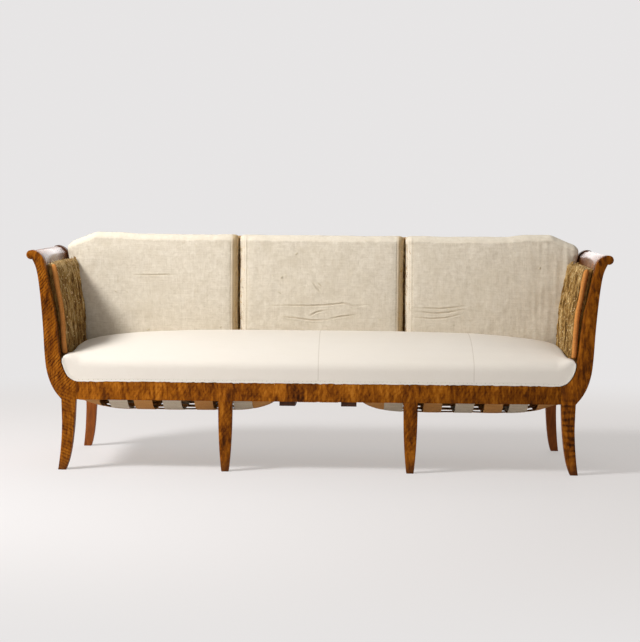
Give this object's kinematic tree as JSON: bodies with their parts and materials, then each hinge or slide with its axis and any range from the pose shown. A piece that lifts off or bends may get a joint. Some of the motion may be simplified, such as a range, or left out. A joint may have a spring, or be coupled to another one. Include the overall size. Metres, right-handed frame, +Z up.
{
  "type": "sofa",
  "caption": "Long wooden-framed sofa with outward-scrolled arms, sabre and tapered legs, a crowned one-piece seat and a padded back in sections.",
  "frame": {"origin": "on the floor under the middle of the sofa", "axes": "+X to the right as seen from the front, +Y towards the back, +Z up; the front faces -Y"},
  "size_m": [2.0996, 0.64, 0.846],
  "materials": {
    "birch_polished": "shellac polish over flame birch",
    "birch_plain": "stained and waxed",
    "pine": "sawn, unfinished",
    "muslin": "plain woven, matt",
    "linen": "coarse plain weave, matt",
    "stuffing": "loose fibre, matt",
    "burlap": "open jute weave, matt",
    "webbing_jute": "woven strap, matt",
    "webbing_linen": "woven strap, matt",
    "spring_steel": "dull, tarnished"
  },
  "bodies": {
    "root": {"front_rail": "birch_polished", "arm_upright_front_left": "birch_polished", "arm_upright_front_right": "birch_polished", "arm_upright_rear_left": "birch_polished", "arm_upright_rear_right": "birch_polished", "arm_top_rail_left": "birch_polished", "arm_top_rail_right": "birch_polished", "arm_panel_left": "birch_polished", "arm_panel_right": "birch_polished", "side_rail_left": "birch_polished", "side_rail_right": "birch_polished", "leg_front_left": "birch_polished", "leg_front_right": "birch_polished", "leg_middle_left": "birch_polished", "leg_middle_right": "birch_polished", "back_seat_rail": "birch_plain", "cross_brace_left": "birch_plain", "cross_brace_right": "birch_plain", "leg_rear_left": "birch_plain", "leg_rear_right": "birch_plain", "back_top_rail": "pine", "back_bottom_rail": "pine", "back_stile_left": "pine", "back_stile_right": "pine", "back_muntin_left": "pine", "back_muntin_right": "pine", "seat_cushion": "muslin", "back_pad_left": "linen", "back_pad_middle": "linen", "back_pad_right": "linen", "arm_pad_left": "stuffing", "arm_pad_right": "stuffing", "edge_roll_left": "burlap", "edge_roll_right": "burlap", "seat_hessian": "burlap", "arm_hessian_left": "burlap", "arm_hessian_right": "burlap", "back_hessian": "burlap", "seat_webbing_jute": "webbing_jute", "back_webbing": "webbing_jute", "seat_webbing_linen_left_1": "webbing_linen", "seat_webbing_linen_left_2": "webbing_linen", "seat_webbing_linen_left_3": "webbing_linen", "seat_webbing_linen_right_1": "webbing_linen", "seat_webbing_linen_right_2": "webbing_linen", "seat_webbing_linen_right_3": "webbing_linen", "seat_spring_front_1": "spring_steel", "seat_spring_front_2": "spring_steel", "seat_spring_front_3": "spring_steel", "seat_spring_front_4": "spring_steel", "seat_spring_front_5": "spring_steel", "seat_spring_rear_1": "spring_steel", "seat_spring_rear_2": "spring_steel", "seat_spring_rear_3": "spring_steel", "seat_spring_rear_4": "spring_steel", "seat_spring_rear_5": "spring_steel"}
  },
  "joints": []
}
